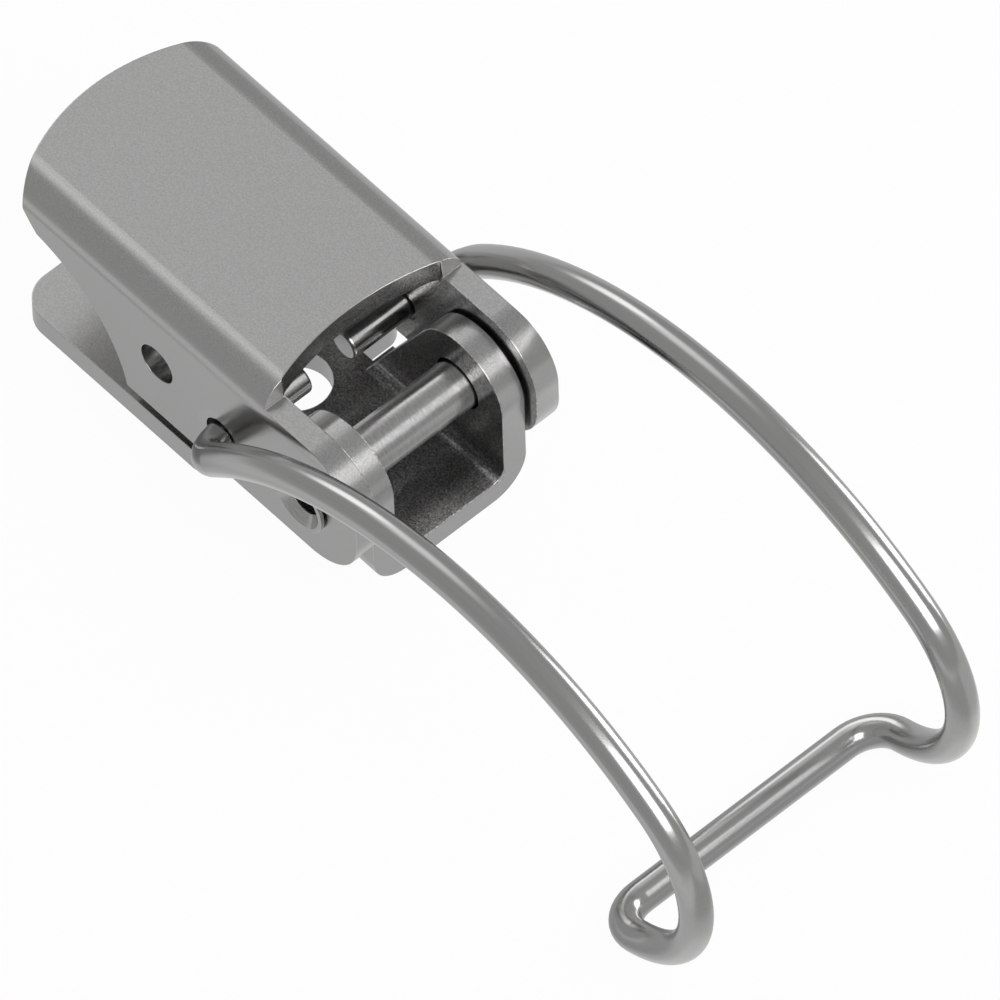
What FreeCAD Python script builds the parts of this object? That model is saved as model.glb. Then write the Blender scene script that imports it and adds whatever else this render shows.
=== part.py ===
import FreeCAD, Part
import math
import os

# Over centre toggle latch, in millimetres.
# Origin: on the base plate's underside, below the pivot rivet, on the mid plane.
# +X points towards the catch, +Y across the latch, +Z away from the surface it is fixed to.

# Base plate: one folded sheet, a channel with two ears in front and a flat tongue behind
BASE_SHEET = 2.5
BASE_WIDTH = 17.4
BASE_INSIDE_BEND_RADIUS = 1.3
BASE_FRONT_X = 5.72
EAR_TOP_HEIGHT = 16.3
EAR_TOP_RADIUS = 5.3
EAR_REAR_SLOPE_DEG = 60.0
EAR_FOOT_REAR_X = -10.9
RELIEF_NOTCH_WIDTH = 1.5
TONGUE_WIDTH = 22.7
TONGUE_REAR_X = -36.7
TONGUE_REAR_CORNER_RADIUS = 3.0
TONGUE_FRONT_CORNER_RADIUS = 2.0
FIXING_HOLE_DIAMETER = 6.4
FIXING_HOLE_FRONT_X = -13.85
FIXING_HOLE_SPACING = 15.0

# Pivot rivet: a solid head on one side, a hollow flared end on the other
PIVOT_HEIGHT = 10.2
RIVET_DIAMETER = 4.75
RIVET_HEAD_DIAMETER = 7.0
RIVET_HEAD_HEIGHT = 1.1
RIVET_HEAD_EDGE_HEIGHT = 0.3
RIVET_LIP_DIAMETER = 6.1
RIVET_LIP_HEIGHT = 0.45
RIVET_LIP_UNDERCUT = 0.08
RIVET_MOUTH_DIAMETER = 5.3
RIVET_BORE_DIAMETER = 3.4
RIVET_FLARE_DEPTH = 0.8
RIVET_BORE_DEPTH = 5.0

# Lever: one folded sheet, a channel that covers the base plate
LEVER_SHEET = 2.5
LEVER_INSIDE_BEND_RADIUS = 0.65
LEVER_TOP_HEIGHT = 20.1
LEVER_EDGE_HEIGHT = 4.15
LEVER_REAR_X = -38.9
LEVER_REAR_EDGE_RADIUS = 19.7
LEVER_FRONT_EDGE_X = -6.55
LEVER_FRONT_EDGE_RADIUS = 28.0
LEVER_STEP_FOOT_X = -4.7
LEVER_STEP_TOP_X = -5.0
LEVER_EAR_FRONT_X = 6.92
LEVER_EAR_TOP_HEIGHT = 18.1
LEVER_EAR_TOP_CORNER_RADIUS = 5.8
LEVER_EAR_LOWER_CORNER_RADIUS = 6.0
FLANGE_SCALLOP_RADIUS = 13.4
FLANGE_SCALLOP_X = -35.5
FLANGE_SCALLOP_DROP = 18.6
LOCK_HOLE_DIAMETER = 4.0
LOCK_HOLE_X = -18.35
LOCK_HOLE_HEIGHT = 11.24

# Bail: one bent wire, two ends hooked into the lever and a cross bar that takes the catch
WIRE_DIAMETER = 3.0
BAIL_PIN_X = -10.25
BAIL_PIN_HEIGHT = 9.0
BAIL_PIN_END_Y = 2.4
BAIL_PIN_END_ROUNDING = 0.25
BAIL_ARM_SPACING = 30.4
BAIL_KNEE_RADIUS = 5.0
BAIL_RISE_DEG = 45.6
BAIL_ARM_RADIUS = 43.05
BAIL_ARM_TURN_DEG = 79.8
BAIL_NOSE_RADIUS = 11.9
BAIL_NOSE_TURN_DEG = 125.8
BAIL_BAR_BEND_RADIUS = 3.5

# Clearances
LEVER_SIDE_GAP = 0.35
RIVET_BASE_CLEARANCE = 0.3
RIVET_LEVER_CLEARANCE = 0.08
RIVET_END_PLAY = 0.12
BAIL_PIN_CLEARANCE = 0.4

# Values that follow
BASE_HALF_WIDTH = BASE_WIDTH / 2
LEVER_INSIDE_HALF_WIDTH = BASE_HALF_WIDTH + LEVER_SIDE_GAP
LEVER_HALF_WIDTH = LEVER_INSIDE_HALF_WIDTH + LEVER_SHEET
LEVER_OUTSIDE_BEND_RADIUS = LEVER_INSIDE_BEND_RADIUS + LEVER_SHEET
LEVER_BEND_HEIGHT = LEVER_TOP_HEIGHT - LEVER_OUTSIDE_BEND_RADIUS
FLANGE_SCALLOP_HEIGHT = LEVER_TOP_HEIGHT - FLANGE_SCALLOP_DROP
TONGUE_FRONT_X = EAR_FOOT_REAR_X - RELIEF_NOTCH_WIDTH
RIVET_RADIUS = RIVET_DIAMETER / 2
WIRE_RADIUS = WIRE_DIAMETER / 2
MARGIN = 5.0
CLOSE = 0.01
TINY = 1e-12


def vec(x, y, z):
    return FreeCAD.Vector(x, y, z)


def line(start, end):
    return Part.LineSegment(start, end).toShape()


def arc(centre, radius, start_deg, end_deg, place):
    """An arc in the plane whose two coordinates place() turns into a point."""
    points = []
    for angle in (start_deg, (start_deg + end_deg) / 2, end_deg):
        turn = math.radians(angle)
        points.append(place(centre[0] + radius * math.cos(turn), centre[1] + radius * math.sin(turn)))
    return Part.Arc(*points).toShape()


def in_side_plane(y):
    return lambda x, z: vec(x, y, z)


def in_section_plane(x):
    return lambda y, z: vec(x, y, z)


def prism(edges, travel):
    face = Part.Face(Part.Wire(edges))
    return face.extrude(travel)


def joined_lines(points):
    return [line(a, b) for a, b in zip(points, points[1:])]


def hole_across(x, z, diameter, half_width):
    return Part.makeCylinder(diameter / 2, 2 * half_width, vec(x, -half_width, z), vec(0, 1, 0))


def channel(half_width, flat_z, edge_z, sheet, inside_radius, rear_x, front_x):
    """A folded channel along X: its flat at flat_z, its two walls ending at edge_z."""
    way = 1 if edge_z > flat_z else -1
    outside_radius = inside_radius + sheet
    bend_y = half_width - outside_radius
    bend_z = flat_z + way * outside_radius
    inner_y = half_width - sheet
    inner_z = flat_z + way * sheet
    at = in_section_plane(rear_x)
    flat_turn = -90 * way
    edges = [
        line(at(half_width, edge_z), at(half_width, bend_z)),
        arc((bend_y, bend_z), outside_radius, 0, flat_turn, at),
        line(at(bend_y, flat_z), at(-bend_y, flat_z)),
        arc((-bend_y, bend_z), outside_radius, flat_turn, -180 * way, at),
        line(at(-half_width, bend_z), at(-half_width, edge_z)),
        line(at(-half_width, edge_z), at(-inner_y, edge_z)),
        line(at(-inner_y, edge_z), at(-inner_y, bend_z)),
        arc((-bend_y, bend_z), inside_radius, -180 * way, flat_turn, at),
        line(at(-bend_y, inner_z), at(bend_y, inner_z)),
        arc((bend_y, bend_z), inside_radius, flat_turn, 0, at),
        line(at(inner_y, bend_z), at(inner_y, edge_z)),
        line(at(inner_y, edge_z), at(half_width, edge_z)),
    ]
    return prism(edges, vec(front_x - rear_x, 0, 0))


def ear_outline():
    """Side view of the base plate's channel: upright front, round top, slanted rear, whole floor."""
    y = -BASE_HALF_WIDTH - MARGIN
    at = in_side_plane(y)
    slope = math.radians(EAR_REAR_SLOPE_DEG)
    centre = (BASE_FRONT_X - EAR_TOP_RADIUS, EAR_TOP_HEIGHT - EAR_TOP_RADIUS)
    rear_deg = EAR_REAR_SLOPE_DEG + 90
    rear_x = centre[0] - EAR_TOP_RADIUS * math.sin(slope)
    rear_z = centre[1] + EAR_TOP_RADIUS * math.cos(slope)
    foot_z = rear_z - (rear_x - EAR_FOOT_REAR_X) * math.tan(slope)
    corners = [at(rear_x, rear_z), at(EAR_FOOT_REAR_X, foot_z), at(EAR_FOOT_REAR_X, -MARGIN),
               at(BASE_FRONT_X, -MARGIN), at(BASE_FRONT_X, centre[1])]
    edges = joined_lines(corners)
    edges.append(arc(centre, EAR_TOP_RADIUS, 0, rear_deg, at))
    floor = Part.makeBox(BASE_FRONT_X - EAR_FOOT_REAR_X, -2 * y, BASE_SHEET + MARGIN,
                         vec(EAR_FOOT_REAR_X, y, -MARGIN))
    return prism(edges, vec(0, -2 * y, 0)).fuse(floor)


def tongue():
    """The flat tongue with rounded corners, and the neck that joins it to the channel."""
    half_width = TONGUE_WIDTH / 2
    length = TONGUE_FRONT_X - TONGUE_REAR_X
    plate = Part.makeBox(length, TONGUE_WIDTH, BASE_SHEET, vec(TONGUE_REAR_X, -half_width, 0))
    rounded = ((TONGUE_REAR_X, TONGUE_REAR_CORNER_RADIUS), (TONGUE_FRONT_X, TONGUE_FRONT_CORNER_RADIUS))
    for x, radius in rounded:
        corners = [edge for edge in plate.Edges
                   if is_upright(edge) and abs(edge.CenterOfMass.x - x) < CLOSE]
        plate = plate.makeFillet(radius, corners)
    neck_half_width = BASE_HALF_WIDTH - BASE_SHEET
    neck = Part.makeBox(RELIEF_NOTCH_WIDTH, 2 * neck_half_width, BASE_SHEET,
                        vec(TONGUE_FRONT_X, -neck_half_width, 0))
    return plate.fuse(neck)


def is_upright(edge):
    box = edge.BoundBox
    return box.XLength < CLOSE and box.YLength < CLOSE and box.ZLength > CLOSE


def base_plate():
    folded = channel(BASE_HALF_WIDTH, 0.0, EAR_TOP_HEIGHT + MARGIN, BASE_SHEET, BASE_INSIDE_BEND_RADIUS,
                     EAR_FOOT_REAR_X, BASE_FRONT_X)
    solid = folded.common(ear_outline()).fuse(tongue()).removeSplitter()
    pivot_diameter = RIVET_DIAMETER + 2 * RIVET_BASE_CLEARANCE
    solid = solid.cut(hole_across(0, PIVOT_HEIGHT, pivot_diameter, BASE_HALF_WIDTH + MARGIN))
    for x in (FIXING_HOLE_FRONT_X, FIXING_HOLE_FRONT_X - FIXING_HOLE_SPACING):
        hole = Part.makeCylinder(FIXING_HOLE_DIAMETER / 2, BASE_SHEET + 2 * MARGIN, vec(x, 0, -MARGIN))
        solid = solid.cut(hole)
    return solid


def flange_tip():
    """Where the rear edge, rolled out flat over the bend, meets the scallop, seen from the side."""
    bend_length = math.pi / 2 * (LEVER_INSIDE_BEND_RADIUS + LEVER_SHEET / 2)
    bend_start = LEVER_HALF_WIDTH - LEVER_OUTSIDE_BEND_RADIUS
    centre_x = LEVER_REAR_X + LEVER_REAR_EDGE_RADIUS

    def rear_x(z):
        rolled_out = bend_start + bend_length + LEVER_BEND_HEIGHT - z
        return centre_x - math.sqrt(LEVER_REAR_EDGE_RADIUS ** 2 - rolled_out ** 2)

    high = LEVER_BEND_HEIGHT
    edge_end = bend_start + bend_length + LEVER_BEND_HEIGHT - LEVER_REAR_EDGE_RADIUS
    low = max(FLANGE_SCALLOP_HEIGHT, edge_end)
    while high - low > TINY:
        middle = (high + low) / 2
        reach = math.hypot(rear_x(middle) - FLANGE_SCALLOP_X, middle - FLANGE_SCALLOP_HEIGHT)
        if reach > FLANGE_SCALLOP_RADIUS:
            high = middle
        else:
            low = middle
    return rear_x, high


def lever_side_outline():
    """Side view of the lever: ear with two round corners, straight lower edge, scallop, rear tip."""
    y = -LEVER_HALF_WIDTH - MARGIN
    at = in_side_plane(y)
    low_radius = LEVER_EAR_LOWER_CORNER_RADIUS
    low_x = LEVER_EAR_FRONT_X - low_radius
    low_z = LEVER_EDGE_HEIGHT + low_radius
    top_radius = LEVER_EAR_TOP_CORNER_RADIUS
    top_x = LEVER_EAR_FRONT_X - top_radius
    top_z = LEVER_EAR_TOP_HEIGHT - top_radius
    rear_x, tip_z = flange_tip()
    tip_x = rear_x(tip_z)
    start_deg = math.degrees(math.asin((LEVER_EDGE_HEIGHT - FLANGE_SCALLOP_HEIGHT) / FLANGE_SCALLOP_RADIUS))
    end_deg = math.degrees(math.atan2(tip_z - FLANGE_SCALLOP_HEIGHT, tip_x - FLANGE_SCALLOP_X))
    scallop_x = FLANGE_SCALLOP_X + FLANGE_SCALLOP_RADIUS * math.cos(math.radians(start_deg))
    middle_z = (tip_z + LEVER_BEND_HEIGHT) / 2
    far_x = LEVER_REAR_X - MARGIN
    over_z = LEVER_TOP_HEIGHT + MARGIN
    edges = [
        line(at(scallop_x, LEVER_EDGE_HEIGHT), at(low_x, LEVER_EDGE_HEIGHT)),
        arc((low_x, low_z), low_radius, -90, 0, at),
        line(at(LEVER_EAR_FRONT_X, low_z), at(LEVER_EAR_FRONT_X, top_z)),
        arc((top_x, top_z), top_radius, 0, 90, at),
        line(at(top_x, LEVER_EAR_TOP_HEIGHT), at(top_x, over_z)),
        line(at(top_x, over_z), at(far_x, over_z)),
        line(at(far_x, over_z), at(far_x, LEVER_BEND_HEIGHT)),
        line(at(far_x, LEVER_BEND_HEIGHT), at(rear_x(LEVER_BEND_HEIGHT), LEVER_BEND_HEIGHT)),
        Part.Arc(at(rear_x(LEVER_BEND_HEIGHT), LEVER_BEND_HEIGHT), at(rear_x(middle_z), middle_z),
                 at(tip_x, tip_z)).toShape(),
        arc((FLANGE_SCALLOP_X, FLANGE_SCALLOP_HEIGHT), FLANGE_SCALLOP_RADIUS, end_deg, start_deg, at),
    ]
    return prism(edges, vec(0, -2 * y, 0))


def lever_plan_outline():
    """Plan view of the lever: straight sides and a rear edge that bows out."""
    y = LEVER_HALF_WIDTH + MARGIN
    centre_x = LEVER_REAR_X + LEVER_REAR_EDGE_RADIUS
    height = LEVER_TOP_HEIGHT + MARGIN
    body = Part.makeBox(LEVER_EAR_FRONT_X + MARGIN - centre_x, 2 * y, height, vec(centre_x, -y, 0))
    rear = Part.makeCylinder(LEVER_REAR_EDGE_RADIUS, height, vec(centre_x, 0, 0))
    return body.fuse(rear)


def lever_front_cut():
    """The bowed cut that ends the lever's top in front, and the slanted steps down to its two ears."""
    radius = LEVER_FRONT_EDGE_RADIUS
    inside_z = LEVER_TOP_HEIGHT - LEVER_SHEET - LEVER_INSIDE_BEND_RADIUS
    between = Part.makeCylinder(radius, LEVER_TOP_HEIGHT, vec(LEVER_FRONT_EDGE_X + radius, 0, inside_z))
    room = Part.makeBox(2 * radius, 2 * LEVER_INSIDE_HALF_WIDTH, 2 * LEVER_TOP_HEIGHT,
                        vec(LEVER_FRONT_EDGE_X, -LEVER_INSIDE_HALF_WIDTH, 0))
    y = -LEVER_HALF_WIDTH - MARGIN
    at = in_side_plane(y)
    front_x = LEVER_EAR_FRONT_X + MARGIN
    over_z = LEVER_TOP_HEIGHT + MARGIN
    corners = [at(LEVER_STEP_FOOT_X, LEVER_EAR_TOP_HEIGHT), at(LEVER_STEP_TOP_X, LEVER_TOP_HEIGHT),
               at(LEVER_STEP_TOP_X, over_z), at(front_x, over_z), at(front_x, LEVER_EAR_TOP_HEIGHT),
               at(LEVER_STEP_FOOT_X, LEVER_EAR_TOP_HEIGHT)]
    above_ears = prism(joined_lines(corners), vec(0, -2 * y, 0))
    return above_ears.fuse(between.common(room))


def lever():
    folded = channel(LEVER_HALF_WIDTH, LEVER_TOP_HEIGHT, LEVER_EDGE_HEIGHT - MARGIN, LEVER_SHEET,
                     LEVER_INSIDE_BEND_RADIUS, LEVER_REAR_X - MARGIN, LEVER_EAR_FRONT_X + MARGIN)
    solid = folded.common(lever_side_outline()).common(lever_plan_outline()).cut(lever_front_cut())
    holes = (
        (0, PIVOT_HEIGHT, RIVET_DIAMETER + 2 * RIVET_LEVER_CLEARANCE),
        (BAIL_PIN_X, BAIL_PIN_HEIGHT, WIRE_DIAMETER + 2 * BAIL_PIN_CLEARANCE),
        (LOCK_HOLE_X, LOCK_HOLE_HEIGHT, LOCK_HOLE_DIAMETER),
    )
    for x, z, diameter in holes:
        solid = solid.cut(hole_across(x, z, diameter, LEVER_HALF_WIDTH + MARGIN))
    return solid


def pivot_rivet():
    """Turned about the pivot: half section from the head, at +Y, to the flared mouth, at -Y."""
    seat = LEVER_HALF_WIDTH + RIVET_END_PLAY
    head_radius = RIVET_HEAD_DIAMETER / 2
    lip_radius = RIVET_LIP_DIAMETER / 2
    head_edge = seat + RIVET_HEAD_EDGE_HEIGHT
    head_top = seat + RIVET_HEAD_HEIGHT
    mouth = -seat - RIVET_LIP_HEIGHT
    dome_rise = head_top - head_edge
    dome_radius = (head_radius ** 2 + dome_rise ** 2) / (2 * dome_rise)
    half_reach = head_radius / 2
    dome_middle = head_top - dome_radius + math.sqrt(dome_radius ** 2 - half_reach ** 2)

    def at(radius, y):
        return vec(radius, y, PIVOT_HEIGHT)

    edges = [Part.Arc(at(0, head_top), at(half_reach, dome_middle), at(head_radius, head_edge)).toShape()]
    edges += joined_lines([
        at(head_radius, head_edge),
        at(head_radius, seat),
        at(RIVET_RADIUS, seat),
        at(RIVET_RADIUS, -seat),
        at(lip_radius, -seat - RIVET_LIP_UNDERCUT),
        at(lip_radius, mouth),
        at(RIVET_MOUTH_DIAMETER / 2, mouth),
        at(RIVET_BORE_DIAMETER / 2, mouth + RIVET_FLARE_DEPTH),
        at(RIVET_BORE_DIAMETER / 2, mouth + RIVET_BORE_DEPTH),
        at(0, mouth + RIVET_BORE_DEPTH),
        at(0, head_top),
    ])
    face = Part.Face(Part.Wire(edges))
    return face.revolve(vec(0, 0, PIVOT_HEIGHT), vec(0, 1, 0), 360)


def heading(angle):
    return vec(math.cos(angle), 0, math.sin(angle))


def left_of(angle):
    return vec(-math.sin(angle), 0, math.cos(angle))


def arm_path(side):
    """Half of the bail's centre line, from the end of its pin to the middle of the cross bar."""
    across = vec(0, side, 0)
    rise = math.radians(BAIL_RISE_DEG)
    pin = vec(BAIL_PIN_X, 0, BAIL_PIN_HEIGHT)
    corner = pin + across * (BAIL_ARM_SPACING / 2)
    knee_in = corner - across * BAIL_KNEE_RADIUS
    knee_out = corner + heading(rise) * BAIL_KNEE_RADIUS
    knee_centre = knee_in + heading(rise) * BAIL_KNEE_RADIUS
    edges = [
        line(pin + across * BAIL_PIN_END_Y, knee_in),
        Part.Arc(knee_in, middle_of_corner(knee_centre, corner, BAIL_KNEE_RADIUS), knee_out).toShape(),
    ]
    point = knee_out
    angle = rise
    for radius, turn_deg in ((BAIL_ARM_RADIUS, BAIL_ARM_TURN_DEG), (BAIL_NOSE_RADIUS, BAIL_NOSE_TURN_DEG)):
        centre = point - left_of(angle) * radius
        turn = math.radians(turn_deg)
        middle = centre + left_of(angle - turn / 2) * radius
        end = centre + left_of(angle - turn) * radius
        edges.append(Part.Arc(point, middle, end).toShape())
        point = end
        angle -= turn
    bar_corner = point + heading(angle) * BAIL_BAR_BEND_RADIUS
    bend_centre = point - across * BAIL_BAR_BEND_RADIUS
    bar_start = bar_corner - across * BAIL_BAR_BEND_RADIUS
    bend_middle = middle_of_corner(bend_centre, bar_corner, BAIL_BAR_BEND_RADIUS)
    edges.append(Part.Arc(point, bend_middle, bar_start).toShape())
    edges.append(line(bar_start, vec(bar_corner.x, 0, bar_corner.z)))
    return edges


def middle_of_corner(centre, corner, radius):
    outward = corner - centre
    return centre + outward * (radius / outward.Length)


def bail():
    near = arm_path(-1)
    far = arm_path(1)
    path = Part.Wire(Part.__sortEdges__(near + far))
    start = vec(BAIL_PIN_X, -BAIL_PIN_END_Y, BAIL_PIN_HEIGHT)
    section = Part.Wire(Part.Edge(Part.Circle(start, vec(0, 1, 0), WIRE_RADIUS)))
    solid = path.makePipeShell([section], True, False)
    ends = [edge for edge in solid.Edges if is_pin_end(edge)]
    solid = solid.makeFillet(BAIL_PIN_END_ROUNDING, ends)
    expected = math.pi * WIRE_RADIUS ** 2 * path.Length
    print("bail wire length %.2f mm, volume %.1f mm3, section times length %.1f mm3"
          % (path.Length, solid.Volume, expected))
    return solid


def is_pin_end(edge):
    box = edge.BoundBox
    at_end = abs(abs(edge.CenterOfMass.y) - BAIL_PIN_END_Y) < CLOSE
    return at_end and box.YLength < CLOSE


PIECES = {
    "base_plate": base_plate,
    "pivot_rivet": pivot_rivet,
    "lever": lever,
    "bail": bail,
}


def main():
    os.makedirs("parts", exist_ok=True)
    for name, make in PIECES.items():
        shape = make()
        solid = shape.Solids[0]
        print("%-12s solids %d, valid %s, volume %.1f mm3, faces %d"
              % (name, len(shape.Solids), shape.isValid(), shape.Volume, len(shape.Faces)))
        solid.exportStep("parts/%s.step" % name)


if __name__ == "__main__":
    main()
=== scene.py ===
"""Finishes, studio and camera for a stainless steel over centre toggle latch."""
import enum
import logging
import math
from dataclasses import dataclass
from typing import Any, Dict, Optional, Sequence, Tuple, Union

import bmesh
import bpy
from mathutils import Matrix, Vector


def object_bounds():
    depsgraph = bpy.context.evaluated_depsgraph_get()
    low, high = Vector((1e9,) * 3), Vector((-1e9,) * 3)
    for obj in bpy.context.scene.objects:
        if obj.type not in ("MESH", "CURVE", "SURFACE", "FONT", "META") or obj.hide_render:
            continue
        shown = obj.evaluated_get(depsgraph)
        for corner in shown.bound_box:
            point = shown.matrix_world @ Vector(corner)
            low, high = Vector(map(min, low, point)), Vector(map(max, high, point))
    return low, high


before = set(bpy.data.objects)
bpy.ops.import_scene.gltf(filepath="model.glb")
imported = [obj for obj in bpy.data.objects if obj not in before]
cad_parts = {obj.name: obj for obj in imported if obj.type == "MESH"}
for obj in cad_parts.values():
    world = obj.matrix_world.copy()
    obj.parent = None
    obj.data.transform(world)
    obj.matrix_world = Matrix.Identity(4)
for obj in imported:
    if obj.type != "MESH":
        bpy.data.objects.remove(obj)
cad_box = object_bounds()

LOG = logging.getLogger("latch")

MM = 0.001
IMAGE_SIDE = 1000.0
SENSOR_WIDTH = 36.0

# Places that several pieces share, in metres.
PIVOT_HEIGHT = 10.2 * MM
BAIL_PIN = (-10.25 * MM, 9.0 * MM)
WIRE_RADIUS = 1.5 * MM

# Upward part of a normal, up to which a face counts as upright and from which as level.
UPRIGHT_UP_TO = 0.5
LEVEL_FROM = 0.95

# Cosine between the rounded normal and the face's own, where an edge begins and where it is full.
EDGE_BEGINS = 0.985
EDGE_FULL = 0.8
BEVEL_SAMPLES = 8

# Length of a grain along its run, in widths.
TURNED_LENGTH = 3.0
DRAWN_LENGTH = 45.0

NOISE_MIDDLE = 0.5
CLOUD_LAYERS = 2.0

Colour = Tuple[float, float, float]
Operand = Union["Value", float]
Direction = Union[bpy.types.NodeSocket, Vector]

WHITE: Colour = (1.0, 1.0, 1.0)


class Grain(enum.Enum):
    """How a surface was made, which sets the run of its fine lines."""

    ROLLED = "rolled"
    DRAWN = "drawn"
    TURNED = "turned"


class Axis(enum.Enum):
    """The axis that a rubbed ring lies round, by the names of the two others."""

    ACROSS = ("X", "Z")
    UPRIGHT = ("X", "Y")


class Value:
    """One output socket of a shader graph, ready for Python arithmetic."""

    def __init__(self, graph: "Graph", socket: bpy.types.NodeSocket) -> None:
        """Keeps the socket and the graph that it belongs to."""
        self.graph = graph
        self.socket = socket

    def __add__(self, other: Operand) -> "Value":
        """Sum of two values."""
        return self.graph.math("ADD", self, other)

    def __radd__(self, other: Operand) -> "Value":
        """Sum with the number on the left."""
        return self.graph.math("ADD", other, self)

    def __sub__(self, other: Operand) -> "Value":
        """Difference of two values."""
        return self.graph.math("SUBTRACT", self, other)

    def __rsub__(self, other: Operand) -> "Value":
        """Difference with the number on the left."""
        return self.graph.math("SUBTRACT", other, self)

    def __mul__(self, other: Operand) -> "Value":
        """Product of two values."""
        return self.graph.math("MULTIPLY", self, other)

    def __rmul__(self, other: Operand) -> "Value":
        """Product with the number on the left."""
        return self.graph.math("MULTIPLY", other, self)

    def __truediv__(self, other: Operand) -> "Value":
        """Quotient of two values."""
        return self.graph.math("DIVIDE", self, other)

    def __rtruediv__(self, other: Operand) -> "Value":
        """Quotient with the number on the left."""
        return self.graph.math("DIVIDE", other, self)

    def __abs__(self) -> "Value":
        """Size without the sign."""
        return self.graph.math("ABSOLUTE", self)

    def clamped(self) -> "Value":
        """The value held between 0 and 1."""
        return self.graph.math("MINIMUM", self.graph.math("MAXIMUM", self, 0.0), 1.0)

    def smooth(self, low: float, high: float) -> "Value":
        """Soft step from 0 at low to 1 at high.

        Args:
            low: Where the step starts; it may lie above high.
            high: Where the step ends.

        Returns:
            The step's value, from 0 to 1.
        """
        node = self.graph.node("ShaderNodeMapRange", {"interpolation_type": "SMOOTHSTEP"}, {
            "Value": self, "From Min": low, "From Max": high})
        return self.graph.value(node)


class Graph:
    """A node tree under construction."""

    def __init__(self, tree: bpy.types.NodeTree) -> None:
        """Takes over a node tree and empties it."""
        self.tree = tree
        tree.nodes.clear()

    def node(self, kind: str, settings: Optional[Dict[str, Any]] = None,
             inputs: Optional[Dict[Any, Any]] = None) -> bpy.types.Node:
        """Adds one node.

        Args:
            kind: The node's type name.
            settings: Attributes that are set before any socket.
            inputs: A number, tuple, socket or Value for each named or numbered input.

        Returns:
            The new node.
        """
        node = self.tree.nodes.new(kind)
        for name, value in (settings or {}).items():
            setattr(node, name, value)
        for name, value in (inputs or {}).items():
            self._feed(node.inputs[name], value)
        return node

    def math(self, operation: str, *operands: Operand) -> Value:
        """Adds one Math node on numbers or values and returns its result."""
        return self.value(
            self.node("ShaderNodeMath", {"operation": operation}, dict(enumerate(operands))))

    def value(self, node: bpy.types.Node, output: Union[str, int] = 0) -> Value:
        """Wraps one output of a node."""
        return Value(self, node.outputs[output])

    def place(self) -> Dict[str, Value]:
        """The object's own coordinates, by the names of their axes."""
        place = self.node("ShaderNodeTexCoord").outputs["Object"]
        split = self.node("ShaderNodeSeparateXYZ", None, {0: place})
        return {name: self.value(split, name) for name in ("X", "Y", "Z")}

    def reach(self, one: Value, other: Value) -> Value:
        """Distance from the point where both coordinates are 0."""
        return self.math("SQRT", one * one + other * other)

    def dot(self, one: Direction, other: Direction) -> Value:
        """Dot product of two vectors."""
        match = self.node("ShaderNodeVectorMath", {"operation": "DOT_PRODUCT"}, {0: one, 1: other})
        return self.value(match, "Value")

    def scaled(self, colour: Colour, share: Value) -> bpy.types.NodeSocket:
        """A colour times a value."""
        node = self.node("ShaderNodeVectorMath", {"operation": "SCALE"}, {
            0: colour, "Scale": share})
        return node.outputs[0]

    def noise(self, along: Sequence[Value], detail: float = 1.0) -> Value:
        """Noise over three coordinates that are already in units of one grain.

        Args:
            along: The three coordinates.
            detail: Number of finer layers.

        Returns:
            The noise, centred on 0 and mostly within 0.3 of it.
        """
        vector = self.node("ShaderNodeCombineXYZ", None, dict(enumerate(along)))
        noise = self.node("ShaderNodeTexNoise", None, {
            "Vector": vector.outputs[0], "Scale": 1.0, "Detail": detail})
        return self.value(noise) - NOISE_MIDDLE

    def _feed(self, socket: bpy.types.NodeSocket, value: Any) -> None:
        """Links a socket or a Value, or sets a plain number or tuple."""
        if isinstance(value, Value):
            value = value.socket
        if isinstance(value, bpy.types.NodeSocket):
            self.tree.links.new(value, socket)
        else:
            socket.default_value = value


@dataclass(frozen=True)
class RubbedRing:
    """A ring that a moving or tightened neighbour has polished.

    Attributes:
        axis: The axis that it lies round.
        centre: Its centre, on the two other axes, in metres.
        radius: Its middle radius in metres.
        width: How far it reaches each way from that radius, in metres.
    """

    axis: Axis
    centre: Tuple[float, float]
    radius: float
    width: float

    def mask(self, graph: Graph, place: Dict[str, Value]) -> Value:
        """Strength of the polish.

        Args:
            graph: The graph that the nodes go to.
            place: The object's own coordinates.

        Returns:
            1 on the ring and 0 away from it.
        """
        one, other = (place[name] - at for name, at in zip(self.axis.value, self.centre))
        return abs(graph.reach(one, other) - self.radius).smooth(self.width, 0.0)


@dataclass(frozen=True)
class CoarseZone:
    """The inside of a fold, where the sheet keeps its coarse mill grain.

    Attributes:
        half_width: Half of the inside width, in metres.
        lowest: Lower end of the zone in metres.
        highest: Upper end of the zone in metres.
        contrast: Strength of the grain there.
        edge: Width of the zone's soft edge in metres.
    """

    half_width: float
    lowest: float
    highest: float
    contrast: float = 1.9
    edge: float = 0.15 * MM

    def mask(self, place: Dict[str, Value]) -> Value:
        """1 inside the fold and 0 outside it."""
        within = abs(place["Y"]).smooth(self.half_width + self.edge, self.half_width)
        above = place["Z"].smooth(self.lowest - self.edge, self.lowest)
        below = place["Z"].smooth(self.highest + self.edge, self.highest)
        return within * above * below


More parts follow.
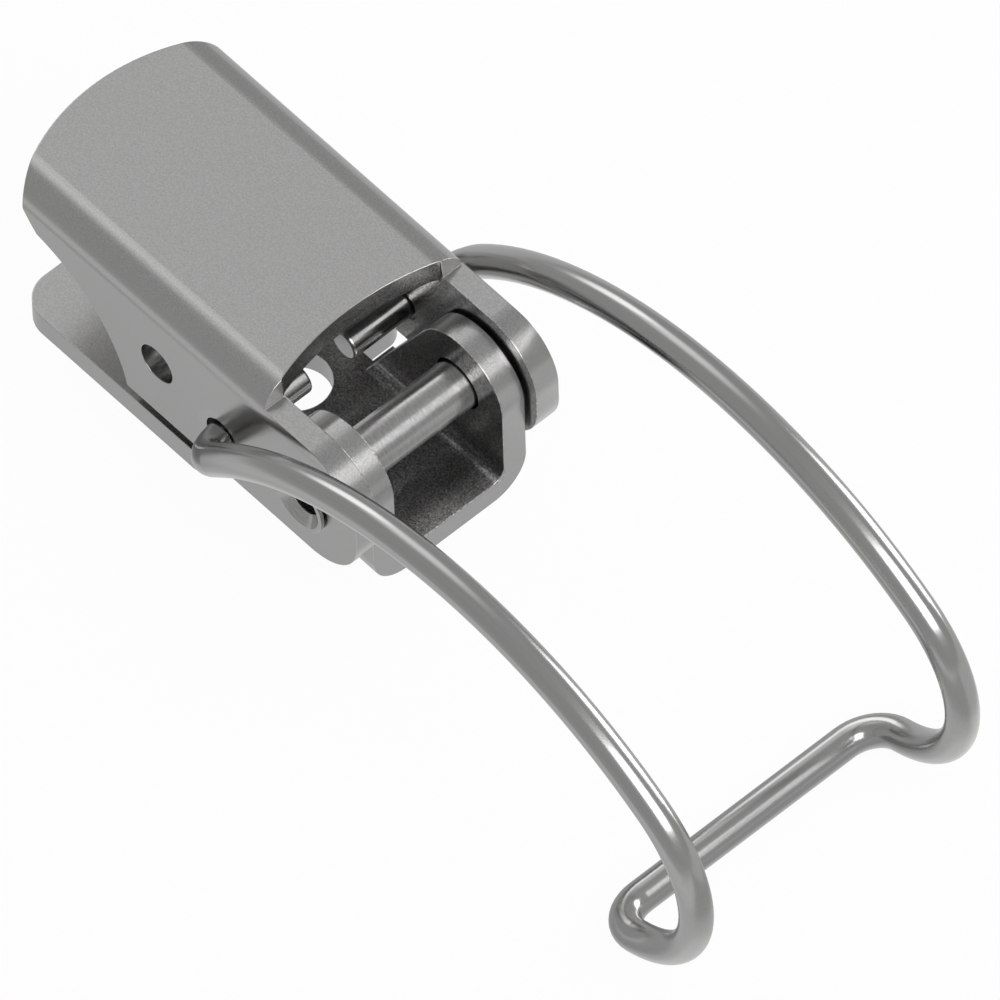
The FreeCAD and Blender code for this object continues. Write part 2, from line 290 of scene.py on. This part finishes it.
@dataclass(frozen=True)
class WireBend:
    """The side view of a bent wire's long arm, which its drawn lines follow.

    Attributes:
        centre: Centre of the arm's curve, along and up, in metres.
        radius: Radius of the arm's curve in metres.
        bar_height: Height below which the wire runs across, in metres.
        change: Height over which the lines change from the bar's run to the arm's, in metres.
    """

    centre: Tuple[float, float]
    radius: float
    bar_height: float
    change: float = 3.0 * MM

    def lines(self, graph: Graph, place: Dict[str, Value], size: float) -> Value:
        """Long fine lines that run with the wire.

        Args:
            graph: The graph that the nodes go to.
            place: The object's own coordinates.
            size: Width of one line in metres.

        Returns:
            The lines, centred on 0.
        """
        length = DRAWN_LENGTH * size
        along, up = place["X"] - self.centre[0], place["Z"] - self.centre[1]
        turn = graph.math("ARCTAN2", up, along)
        arm = graph.noise([graph.reach(along, up) / size, place["Y"] / size,
                           turn * (self.radius / length)])
        bar = graph.noise([place["X"] / size, place["Z"] / size, place["Y"] / length])
        share = place["Z"].smooth(self.bar_height, self.bar_height + self.change)
        return bar + share * (arm - bar)


@dataclass(frozen=True)
class SteelFinish:
    """Stainless steel with a fine grain, and edges that tumbling has broken, with a painted
    highlight along them.

    Attributes:
        name: The material's name.
        grain: How the surface was made.
        colour: Reflected colour of the clean metal, linear.
        roughness: Middle roughness.
        grain_size: Width of one grain or line in metres.
        grain_contrast: Strength of the grain on level faces.
        upright_contrast: Strength of the grain on upright faces.
        grain_roughness: Change of roughness with the grain.
        grain_depth: Height of the grain in metres.
        darkest: Lowest share of the colour that the grain leaves.
        edge_radius: Radius that light sees on a broken edge, in metres.
        edge_highlight: Painted highlight, a gain in brightness on a broken edge.
        ring_polish: Gain in brightness on a rubbed ring.
        polish_smoothing: Loss of roughness with the rubbed rings' polishing and with the edges'
            painted highlight.
        cloud_size: Size of the soft clouds from handling, in metres.
        cloud_contrast: Strength of the clouds.
        cloud_roughness: Change of roughness with the clouds.
    """

    name: str
    grain: Grain
    colour: Colour = (0.47, 0.468, 0.462)
    roughness: float = 0.25
    grain_size: float = 0.17 * MM
    grain_contrast: float = 0.42
    upright_contrast: float = 0.16
    grain_roughness: float = 0.05
    grain_depth: float = 0.0006 * MM
    darkest: float = 0.15
    edge_radius: float = 0.13 * MM
    # Painted highlight along broken edges, carried in the base colour.
    edge_highlight: float = 0.3
    ring_polish: float = 0.04
    polish_smoothing: float = 0.12
    cloud_size: float = 11.0 * MM
    cloud_contrast: float = 0.02
    cloud_roughness: float = 0.06

    def material(self, rings: Sequence[RubbedRing] = (), zone: Optional[CoarseZone] = None,
                 bend: Optional[WireBend] = None) -> bpy.types.Material:
        """Builds the finish.

        Args:
            rings: Places that neighbours have polished.
            zone: Inside of a fold, with a coarser grain.
            bend: The curve that drawn lines follow.

        Returns:
            The material, with its colour, roughness and relief from nodes.
        """
        made = bpy.data.materials.new(self.name)
        made.use_nodes = True
        graph = Graph(made.node_tree)
        place = graph.place()
        grain = self._grain(graph, place, bend)
        cloud = graph.noise([axis / self.cloud_size for axis in place.values()], CLOUD_LAYERS)
        rounded = graph.node("ShaderNodeBevel", {"samples": BEVEL_SAMPLES}, {
            "Radius": self.edge_radius}).outputs["Normal"]
        # Painted highlight on broken edges, plus the real polishing of rubbed rings.
        highlight_and_polish = self.edge_highlight * self._edge(graph, rounded)
        for ring in rings:
            highlight_and_polish = highlight_and_polish + self.ring_polish * ring.mask(graph, place)
        contrast = self._contrast(graph)
        if zone:
            contrast = contrast + zone.contrast * zone.mask(place)
        # The tone carries the painted edge highlight as well as grain, clouds and rubbed rings.
        tone = 1.0 + contrast * grain + self.cloud_contrast * cloud + highlight_and_polish
        roughness = (self.roughness + self.cloud_roughness * cloud + self.grain_roughness * grain
                     - self.polish_smoothing * highlight_and_polish)
        relief = graph.node("ShaderNodeBump", None, {
            "Strength": 1.0, "Distance": self.grain_depth, "Height": grain, "Normal": rounded})
        shader = graph.node("ShaderNodeBsdfPrincipled", None, {
            "Metallic": 1.0,
            "Base Color": graph.scaled(self.colour, graph.math("MAXIMUM", tone, self.darkest)),
            "Roughness": roughness.clamped(),
            "Normal": relief.outputs["Normal"]})
        graph.node("ShaderNodeOutputMaterial", None, {"Surface": shader.outputs[0]})
        return made

    def _grain(self, graph: Graph, place: Dict[str, Value], bend: Optional[WireBend]) -> Value:
        """Fine grain of the surface, in the run that its making gave it.

        Args:
            graph: The graph that the nodes go to.
            place: The object's own coordinates.
            bend: The curve that drawn lines follow.

        Returns:
            The grain, centred on 0.
        """
        size = self.grain_size
        if self.grain is Grain.DRAWN and bend:
            return bend.lines(graph, place, size)
        if self.grain is Grain.TURNED:
            reach = graph.reach(place["X"], place["Z"] - PIVOT_HEIGHT)
            return graph.noise([reach / size, place["Y"] / size,
                                place["X"] / (TURNED_LENGTH * size)])
        return graph.noise([axis / size for axis in place.values()])

    def _contrast(self, graph: Graph) -> Value:
        """Strength of the grain: full on level faces, slight on upright ones."""
        normal = graph.node("ShaderNodeTexCoord").outputs["Normal"]
        height = graph.value(graph.node("ShaderNodeSeparateXYZ", None, {0: normal}), "Z")
        level = abs(height).smooth(UPRIGHT_UP_TO, LEVEL_FROM)
        return self.upright_contrast + (self.grain_contrast - self.upright_contrast) * level

    @staticmethod
    def _edge(graph: Graph, rounded: bpy.types.NodeSocket) -> Value:
        """How far the rounded normal leaves the face's own, from 0 on a face to 1 on an edge."""
        face = graph.node("ShaderNodeNewGeometry").outputs["Normal"]
        return graph.dot(rounded, face).smooth(EDGE_BEGINS, EDGE_FULL)


# The base plate's steel is set a shade lighter than the lever's: painted light that makes up for
# the shade and duller reflections it gets.
BASE_SHEET = SteelFinish("satin_sheet", Grain.ROLLED, colour=(0.49, 0.488, 0.482), roughness=0.24)
LEVER_SHEET = SteelFinish("satin_lever", Grain.ROLLED, roughness=0.23)
BRIGHT_WIRE = SteelFinish("bright_wire", Grain.DRAWN, roughness=0.21, grain_size=0.14 * MM,
                          grain_contrast=0.12, upright_contrast=0.12, grain_depth=0.0004 * MM)
TURNED_RIVET = SteelFinish("turned_rivet", Grain.TURNED, roughness=0.24, grain_contrast=0.4,
                           upright_contrast=0.3, grain_depth=0.0004 * MM, edge_radius=0.1 * MM)


def dress(node_name: str, made: bpy.types.Material) -> bpy.types.Object:
    """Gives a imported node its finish.

    Args:
        node_name: The node's name.
        made: The material for all of its slots.

    Returns:
        The node's object.
    """
    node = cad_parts[node_name]
    for slot in node.material_slots:
        slot.material = made
    LOG.info("%s dressed with %s", node_name, made.name)
    return node


@dataclass
class BasePlate:
    """The folded base plate: two ears in front and the flat tongue that is screwed down.

    Attributes:
        sheet: Thickness of the sheet in metres.
        inside_half_width: Half of the width between the ears, in metres.
        ear_top: Height of the ears in metres.
        screw_holes: Places of the two holes along the tongue, in metres.
        screw_hole_radius: Radius of each hole in metres.
        washer_radius: Radius of the washer that has marked the tongue, in metres.
        floor_margin: How far the coarse grain starts below the channel's floor, in metres.
    """

    sheet: float = 2.5 * MM
    inside_half_width: float = 6.2 * MM
    ear_top: float = 16.3 * MM
    screw_holes: Tuple[float, float] = (-13.85 * MM, -28.85 * MM)
    screw_hole_radius: float = 3.2 * MM
    washer_radius: float = 5.6 * MM
    floor_margin: float = 0.1 * MM

    def build(self) -> bpy.types.Object:
        """Dresses the plate, with a washer's ring round each screw hole."""
        middle = (self.screw_hole_radius + self.washer_radius) / 2.0
        width = (self.washer_radius - self.screw_hole_radius) / 2.0
        rings = [RubbedRing(Axis.UPRIGHT, (x, 0.0), middle, width) for x in self.screw_holes]
        zone = CoarseZone(self.inside_half_width, self.sheet - self.floor_margin, self.ear_top)
        return dress("base_plate", BASE_SHEET.material(rings, zone))


@dataclass
class PivotRivet:
    """The hollow rivet that the lever turns on, with its flared mouth on the near side.

    Attributes:
        flare_radius: Middle radius of the flared mouth in metres.
        flare_width: How far the flaring tool has polished each way from it, in metres.
    """

    flare_radius: float = 2.65 * MM
    flare_width: float = 0.4 * MM

    def build(self) -> bpy.types.Object:
        """Dresses the rivet, with a ring that the flaring tool has polished."""
        ring = RubbedRing(Axis.ACROSS, (0.0, PIVOT_HEIGHT), self.flare_radius, self.flare_width)
        return dress("pivot_rivet", TURNED_RIVET.material([ring]))


@dataclass
class Lever:
    """The folded lever that covers the base plate and carries the bail.

    Attributes:
        inside_half_width: Half of the width between the flanges, in metres.
        top: Height of its top in metres.
        top_margin: How far below its top the coarse grain ends, in metres.
        lip_radius: Radius of the rivet's lip on the near flange, in metres.
        lip_width: How far the lip has rubbed each way from it, in metres.
        knee_radius: Middle radius of the ring that the bail's knee has rubbed, in metres.
        knee_width: How far the knee has rubbed each way from it, in metres.
    """

    inside_half_width: float = 9.05 * MM
    top: float = 20.1 * MM
    top_margin: float = 0.3 * MM
    lip_radius: float = 3.05 * MM
    lip_width: float = 0.6 * MM
    knee_radius: float = WIRE_RADIUS + 0.9 * MM
    knee_width: float = 0.8 * MM

    def build(self) -> bpy.types.Object:
        """Dresses the lever, rubbed round the rivet and round the bail's pins."""
        rings = [RubbedRing(Axis.ACROSS, (0.0, PIVOT_HEIGHT), self.lip_radius, self.lip_width),
                 RubbedRing(Axis.ACROSS, BAIL_PIN, self.knee_radius, self.knee_width)]
        zone = CoarseZone(self.inside_half_width, 0.0, self.top - self.top_margin)
        return dress("lever", LEVER_SHEET.material(rings, zone))


@dataclass
class Bail:
    """The bent wire that hooks the catch.

    Attributes:
        knee_radius: Radius of the bends beside the pins, in metres.
        rise_deg: Slope at which the arms leave the knees.
        arm_radius: Radius of the arms' long curve, in metres.
        bar: Place of the cross bar's centre line, along and up, in metres.
        bar_width: How far the catch has rubbed each way from the bar's surface, in metres.
    """

    knee_radius: float = 5.0 * MM
    rise_deg: float = 45.6
    arm_radius: float = 43.05 * MM
    bar: Tuple[float, float] = (42.3 * MM, -4.16 * MM)
    bar_width: float = 0.8 * MM

    def build(self) -> bpy.types.Object:
        """Dresses the wire, with drawn lines along it and a bar that the catch has rubbed."""
        rise = math.radians(self.rise_deg)
        cosine, sine = math.cos(rise), math.sin(rise)
        centre = (BAIL_PIN[0] + self.knee_radius * cosine + self.arm_radius * sine,
                  BAIL_PIN[1] + self.knee_radius * sine - self.arm_radius * cosine)
        bend = WireBend(centre, self.arm_radius, self.bar[1] + WIRE_RADIUS)
        ring = RubbedRing(Axis.ACROSS, self.bar, WIRE_RADIUS, self.bar_width)
        return dress("bail", BRIGHT_WIRE.material([ring], bend=bend))


def heading(azimuth_deg: float, elevation_deg: float) -> Vector:
    """Unit vector towards a place in the studio.

    Args:
        azimuth_deg: Turn from +X towards +Y.
        elevation_deg: Height over the horizon.

    Returns:
        The vector.
    """
    azimuth, elevation = math.radians(azimuth_deg), math.radians(elevation_deg)
    return Vector((math.cos(azimuth) * math.cos(elevation),
                   math.sin(azimuth) * math.cos(elevation), math.sin(elevation)))


@dataclass(frozen=True)
class Softbox:
    """One large soft lamp that looks at the latch.

    Attributes:
        name: The lamp's name.
        azimuth_deg: Where it stands, turned from +X towards +Y.
        elevation_deg: How high it stands over the floor.
        half_width_deg: Half of the width that the latch sees.
        half_height_deg: Half of the height that the latch sees.
        radiance: Brightness of its face, where white is 1.
        distance: Distance from the latch in metres.
    """

    name: str
    azimuth_deg: float
    elevation_deg: float
    half_width_deg: float
    half_height_deg: float
    radiance: float
    distance: float = 1.5

    def build(self) -> bpy.types.Object:
        """Makes the lamp, with the power that gives its face that brightness.

        Returns:
            The lamp's object.
        """
        width = 2.0 * self.distance * math.tan(math.radians(self.half_width_deg))
        height = 2.0 * self.distance * math.tan(math.radians(self.half_height_deg))
        lamp = bpy.data.lights.new(self.name, "AREA")
        lamp.shape = "RECTANGLE"
        lamp.size = width
        lamp.size_y = height
        lamp.energy = self.radiance * math.pi * width * height
        away = heading(self.azimuth_deg, self.elevation_deg)
        stand = bpy.data.objects.new(self.name, lamp)
        stand.location = away * self.distance
        stand.rotation_euler = (-away).to_track_quat("-Z", "Y").to_euler()
        bpy.context.scene.collection.objects.link(stand)
        LOG.info("%s at %.0f, %.0f degrees", self.name, self.azimuth_deg, self.elevation_deg)
        return stand


@dataclass(frozen=True)
class Glow:
    """A soft patch of light on the dome.

    Attributes:
        azimuth_deg: Turn of its middle from +X towards +Y.
        elevation_deg: Height of its middle over the horizon.
        inner_deg: Angle from the middle at which it starts to fade.
        outer_deg: Angle from the middle at which it has faded.
        level: Brightness that it adds in the middle, where white is 1.
    """

    azimuth_deg: float
    elevation_deg: float
    inner_deg: float
    outer_deg: float
    level: float

    def light(self, graph: Graph, direction: bpy.types.NodeSocket) -> Value:
        """Brightness that the patch adds.

        Args:
            graph: The world's graph.
            direction: Where the dome is seen.

        Returns:
            The added brightness.
        """
        match = graph.dot(direction, heading(self.azimuth_deg, self.elevation_deg))
        angle = graph.math("ARCCOSINE", match)
        return self.level * angle.smooth(math.radians(self.outer_deg), math.radians(self.inner_deg))


@dataclass(frozen=True)
class Fade:
    """A soft step along one axis of the floor.

    Attributes:
        axis: Name of the axis.
        start: Place where the step starts, in metres.
        end: Place where it has reached 1, in metres.
    """

    axis: str
    start: float
    end: float


@dataclass(frozen=True)
class PaintedFloorPatch:
    """A patch of painted light or painted shade in the floor's glow, which metal sees lighter or
    darker than the rest.

    Attributes:
        fades: The soft steps that bound it.
        flat: Change of grey at a flat angle.
        steep: Change of grey at a steep angle.
    """

    fades: Tuple[Fade, ...]
    flat: float
    steep: float = 0.0

    def mask(self, place: Dict[str, Value]) -> Value:
        """1 on the patch and 0 away from it."""
        return math.prod(place[fade.axis].smooth(fade.start, fade.end) for fade in self.fades)


# Painted shade behind the tongue, and painted light on the near and far sides, in the floor's glow.
PAINTED_SHADE_BEHIND_TONGUE = PaintedFloorPatch(flat=-0.32, fades=(
    Fade("X", -16.0 * MM, -40.0 * MM),
    Fade("Y", -38.0 * MM, -26.0 * MM),
    Fade("Y", 6.0 * MM, -6.0 * MM)))
PAINTED_LIGHT_NEAR_SIDE = PaintedFloorPatch(flat=0.33, fades=(
    Fade("Y", -26.0 * MM, -36.0 * MM),
    Fade("Y", -90.0 * MM, -60.0 * MM)))
PAINTED_LIGHT_FAR_SIDE = PaintedFloorPatch(flat=0.2, steep=0.3, fades=(Fade("Y", 12.0 * MM, 24.0 * MM),))


@dataclass(frozen=True)
class PaintedFloorGlow:
    """The painted glow that metal sees in the floor, graded by place and by the angle at which it
    looks.

    The angle is Layer Weight's facing: 0 straight down, 1 along the floor.

    Attributes:
        flat: Grey at a flat angle.
        steep: Grey at a steep angle.
        plumb: Grey that is added straight down, a painted pool of light.
        steep_facing: Facing at which the steep grey starts, and at which it is full.
        plumb_facing: Facing at which the added grey starts, and at which it is full.
        patches: Parts of the floor with painted light or painted shade.
    """

    flat: float = 0.42
    steep: float = 0.65
    plumb: float = 0.22
    steep_facing: Tuple[float, float] = (0.36, 0.2)
    plumb_facing: Tuple[float, float] = (0.16, 0.04)
    patches: Tuple[PaintedFloorPatch, ...] = (PAINTED_SHADE_BEHIND_TONGUE, PAINTED_LIGHT_NEAR_SIDE, PAINTED_LIGHT_FAR_SIDE)

    def grey(self, graph: Graph) -> Value:
        """Grades the painted glow's grey.

        Args:
            graph: The graph that the nodes go to.

        Returns:
            The grey, where white is 1.
        """
        place = graph.place()
        facing = graph.value(graph.node("ShaderNodeLayerWeight"), "Facing")
        masks = [patch.mask(place) for patch in self.patches]
        # The patches add their painted light and painted shade to the grey.
        flat = sum((patch.flat * mask for patch, mask in zip(self.patches, masks)), self.flat)
        steep = sum((patch.steep * mask for patch, mask in zip(self.patches, masks)), self.steep)
        sloped = flat + (steep - flat) * facing.smooth(*self.steep_facing)
        return sloped + self.plumb * facing.smooth(*self.plumb_facing)


@dataclass
class Studio:
    """Pale floor with a painted glow that only reflections see, grey dome with two soft patches of
    light behind, and two soft lamps.

    Attributes:
        floor_radius: Radius of the floor in metres.
        floor_sides: Number of the floor's sides.
        floor_colour: Paint of the floor.
        floor_clearness: Share of the white behind the floor that the camera sees through it.
        floor_glow_share: Share of the floor's graded, painted glow that metal sees in it.
        painted_floor_glow: That painted glow.
        dome_level: Brightness of the dome, where white is 1.
        glows: Patches of light on the dome.
        softboxes: The lamps.
    """

    floor_radius: float = 4.0
    floor_sides: int = 96
    floor_colour: Colour = (0.8, 0.8, 0.8)
    floor_clearness: float = 0.96
    floor_glow_share: float = 0.8
    painted_floor_glow: PaintedFloorGlow = PaintedFloorGlow()
    dome_level: float = 0.45
    glows: Tuple[Glow, ...] = (
        Glow(azimuth_deg=168.0, elevation_deg=52.0, inner_deg=6.0, outer_deg=26.0, level=0.72),
        Glow(azimuth_deg=164.0, elevation_deg=28.0, inner_deg=8.0, outer_deg=16.0, level=1.5))
    softboxes: Tuple[Softbox, ...] = (
        Softbox("front_softbox", azimuth_deg=-3.0, elevation_deg=48.5, half_width_deg=20.6,
                half_height_deg=16.5, radiance=3.3),
        Softbox("side_softbox", azimuth_deg=84.0, elevation_deg=15.0, half_width_deg=13.0,
                half_height_deg=19.0, radiance=3.0))

    def build(self) -> None:
        """Makes the floor, the world and the lamps."""
        bpy.context.scene.view_settings.view_transform = "Standard"
        self._floor()
        self._world()
        for softbox in self.softboxes:
            softbox.build()

    def _floor(self) -> None:
        """A round pale floor at the latch's lowest point."""
        shape = bmesh.new()
        bmesh.ops.create_circle(shape, cap_ends=True, segments=self.floor_sides,
                                radius=self.floor_radius)
        bmesh.ops.translate(shape, vec=(0.0, 0.0, cad_box[0].z), verts=shape.verts[:])
        mesh = bpy.data.meshes.new("floor")
        shape.to_mesh(mesh)
        shape.free()
        mesh.materials.append(self._floor_material())
        floor = bpy.data.objects.new("floor", mesh)
        bpy.context.scene.collection.objects.link(floor)
        LOG.info("floor %.0f m wide", 2.0 * self.floor_radius)

    def _floor_material(self) -> bpy.types.Material:
        """Matt pale paint for light, a graded painted glow to metal, and all but clear to the
        camera.

        The camera sees the paint's shadows on the white of the dome, and a bail below the fixing
        face through it.

        Returns:
            The material.
        """
        made = bpy.data.materials.new("pale_floor")
        made.use_nodes = True
        made.cycles.emission_sampling = "NONE"
        graph = Graph(made.node_tree)
        path = graph.node("ShaderNodeLightPath")
        clear = graph.value(path, "Is Camera Ray") * self.floor_clearness
        mirrored = graph.value(path, "Is Glossy Ray") + graph.value(path, "Is Transmission Ray")
        # The floor's glow is painted light and shade that only reflections see.
        glow = graph.node("ShaderNodeEmission", None, {
            "Color": graph.scaled(WHITE, self.painted_floor_glow.grey(graph))})
        paint = graph.node("ShaderNodeBsdfDiffuse", None, {"Color": (*self.floor_colour, 1.0)})
        seen = graph.node("ShaderNodeMixShader", None, {
            0: (mirrored * self.floor_glow_share).clamped(), 1: paint.outputs[0], 2: glow.outputs[0]})
        through = graph.node("ShaderNodeBsdfTransparent")
        mixed = graph.node("ShaderNodeMixShader", None, {
            0: clear, 1: seen.outputs[0], 2: through.outputs[0]})
        graph.node("ShaderNodeOutputMaterial", None, {"Surface": mixed.outputs[0]})
        return made

    def _world(self) -> None:
        """A grey dome with its patches of light, plain white to the camera."""
        world = bpy.data.worlds.new("studio")
        bpy.context.scene.world = world
        world.use_nodes = True
        graph = Graph(world.node_tree)
        direction = graph.node("ShaderNodeTexCoord").outputs["Generated"]
        level = sum((glow.light(graph, direction) for glow in self.glows), self.dome_level)
        camera = graph.value(graph.node("ShaderNodeLightPath"), "Is Camera Ray")
        sky = graph.node("ShaderNodeBackground", None, {
            "Color": (*WHITE, 1.0), "Strength": level + camera * (1.0 - level)})
        graph.node("ShaderNodeOutputWorld", None, {"Surface": sky.outputs[0]})


@dataclass
class PhotographCamera:
    """A long lens at the photograph's viewing angle.

    Attributes:
        azimuth_deg: Turn of the viewpoint from -Y towards +X.
        elevation_deg: Height of the viewpoint over the horizon.
        roll_deg: Turn of the picture about the line of sight.
        scale: Pixels for each metre at the latch, in an image of 1000 pixels.
        right: Aim point to the right of the origin, in metres.
        up: Aim point above the origin, in metres.
        distance: Distance of the lens in metres.
    """

    azimuth_deg: float = 49.307
    elevation_deg: float = 54.278
    roll_deg: float = 1.908
    scale: float = 11774.5
    right: float = 8.010 * MM
    up: float = -0.492 * MM
    distance: float = 3.3

    def build(self) -> bpy.types.Object:
        """Makes the camera and gives it to the scene.

        Returns:
            The camera's object.
        """
        azimuth, roll = math.radians(self.azimuth_deg), math.radians(self.roll_deg)
        back = heading(self.azimuth_deg - 90.0, self.elevation_deg)
        level = Vector((math.cos(azimuth), math.sin(azimuth), 0.0))
        upright = back.cross(level)
        across = math.cos(roll) * level - math.sin(roll) * upright
        above = math.sin(roll) * level + math.cos(roll) * upright
        lens = bpy.data.cameras.new("camera")
        lens.sensor_width = SENSOR_WIDTH
        lens.lens = SENSOR_WIDTH * self.scale * self.distance / IMAGE_SIDE
        stand = bpy.data.objects.new("camera", lens)
        turn = Matrix((across, above, back)).transposed().to_4x4()
        place = self.right * across + self.up * above + self.distance * back
        stand.matrix_world = Matrix.Translation(place) @ turn
        bpy.context.scene.collection.objects.link(stand)
        bpy.context.scene.camera = stand
        LOG.info("camera at %.1f, %.1f degrees", self.azimuth_deg, self.elevation_deg)
        return stand


def main() -> None:
    """Builds the camera, the studio and the latch's sub-assemblies in order."""
    logging.basicConfig(level=logging.INFO, format="%(name)s %(message)s")
    PhotographCamera().build()
    Studio().build()
    for part in (BasePlate(), PivotRivet(), Lever(), Bail()):
        made = part.build()
        LOG.info("%s has %d faces", made.name, len(made.data.polygons))


if __name__ == "__main__":
    main()
